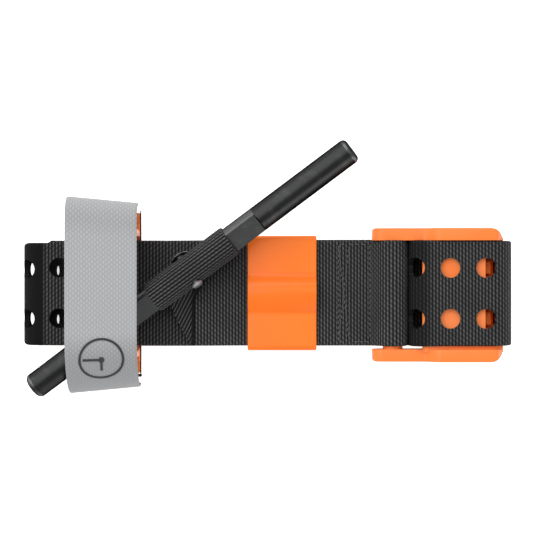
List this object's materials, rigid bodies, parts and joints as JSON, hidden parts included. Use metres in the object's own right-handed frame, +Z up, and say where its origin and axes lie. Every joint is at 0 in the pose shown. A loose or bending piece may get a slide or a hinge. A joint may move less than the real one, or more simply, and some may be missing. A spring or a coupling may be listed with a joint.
{
  "type": "windlass tourniquet",
  "caption": "Limb tourniquet laid flat: holed black belt folded on itself, auto-locking orange buckle, keeper, windlass rod in its band, rod clip and grey time strap.",
  "frame": {"origin": "underside of the folded belt, on its centreline, a little left of the keeper's middle, on the surface that the tourniquet lies on", "axes": "+X along the belt towards the buckle, +Y across the belt, +Z up from the surface"},
  "size_m": [0.1774, 0.0916, 0.0331],
  "materials": {
    "webbing": "woven nylon webbing, matt",
    "band_webbing": "ribbed nylon band, matt",
    "strap_fabric": "light grey basket-weave tape",
    "hook_tape": "black hook-and-loop tape",
    "orange_nylon": "moulded orange nylon, satin",
    "black_anodised": "black hard-anodised, satin",
    "steel": "zinc-plated",
    "stiffener_board": "black polyethylene sheet"
  },
  "bodies": {
    "belt": {"main_belt": "webbing", "tension_band": "band_webbing", "base_stiffener": "stiffener_board", "windlass_clip": "orange_nylon", "strap_anchor": "strap_fabric", "loop_patch": "hook_tape", "buckle_frame": "orange_nylon", "bottom_cover": "orange_nylon", "cover_screw_1": "steel", "cover_screw_2": "steel", "cover_screw_3": "steel", "cover_screw_4": "steel", "return_spring_1": "steel", "return_spring_2": "steel"},
    "windlass": {"windlass_rod": "black_anodised", "windlass_loop": "band_webbing", "loop_rivet": "steel"},
    "time_flap": {"time_strap": "strap_fabric", "hook_patch": "hook_tape"},
    "keeper": {"keeper_sleeve": "orange_nylon"},
    "carriage": {"lock_carriage": "steel"},
    "prongs": {"prong_block": "orange_nylon"}
  },
  "joints": [
    {"name": "windlass_turn", "type": "hinge", "parent": "belt", "child": "windlass", "pos_m": [-0.027, 0.0085, 0.0225], "axis": [0, 0, 1], "range_deg": [-45, 1]},
    {"name": "strap_open", "type": "hinge", "parent": "belt", "child": "time_flap", "pos_m": [-0.05785, 0.0331, 0.013], "axis": [-1, 0, 0], "range_deg": [0, 100]},
    {"name": "keeper_slide", "type": "slide", "parent": "belt", "child": "keeper", "axis": [1, 0, 0], "range_m": [-0.0015, 0.006]},
    {"name": "lock_slide", "type": "slide", "parent": "belt", "child": "carriage", "axis": [1, 0, 0], "range_m": [0, 0.0035], "stiffness_N_per_m": 3000, "springref_m": -0.001, "deforming": ["return_spring_1", "return_spring_2"]},
    {"name": "prong_lift", "type": "slide", "parent": "belt", "child": "prongs", "axis": [0, 0, 1], "range_m": [0, 0.005]}
  ],
  "couplings": [
    {"joint": "prong_lift", "follows": "lock_slide", "ratio": 1.4286}
  ]
}
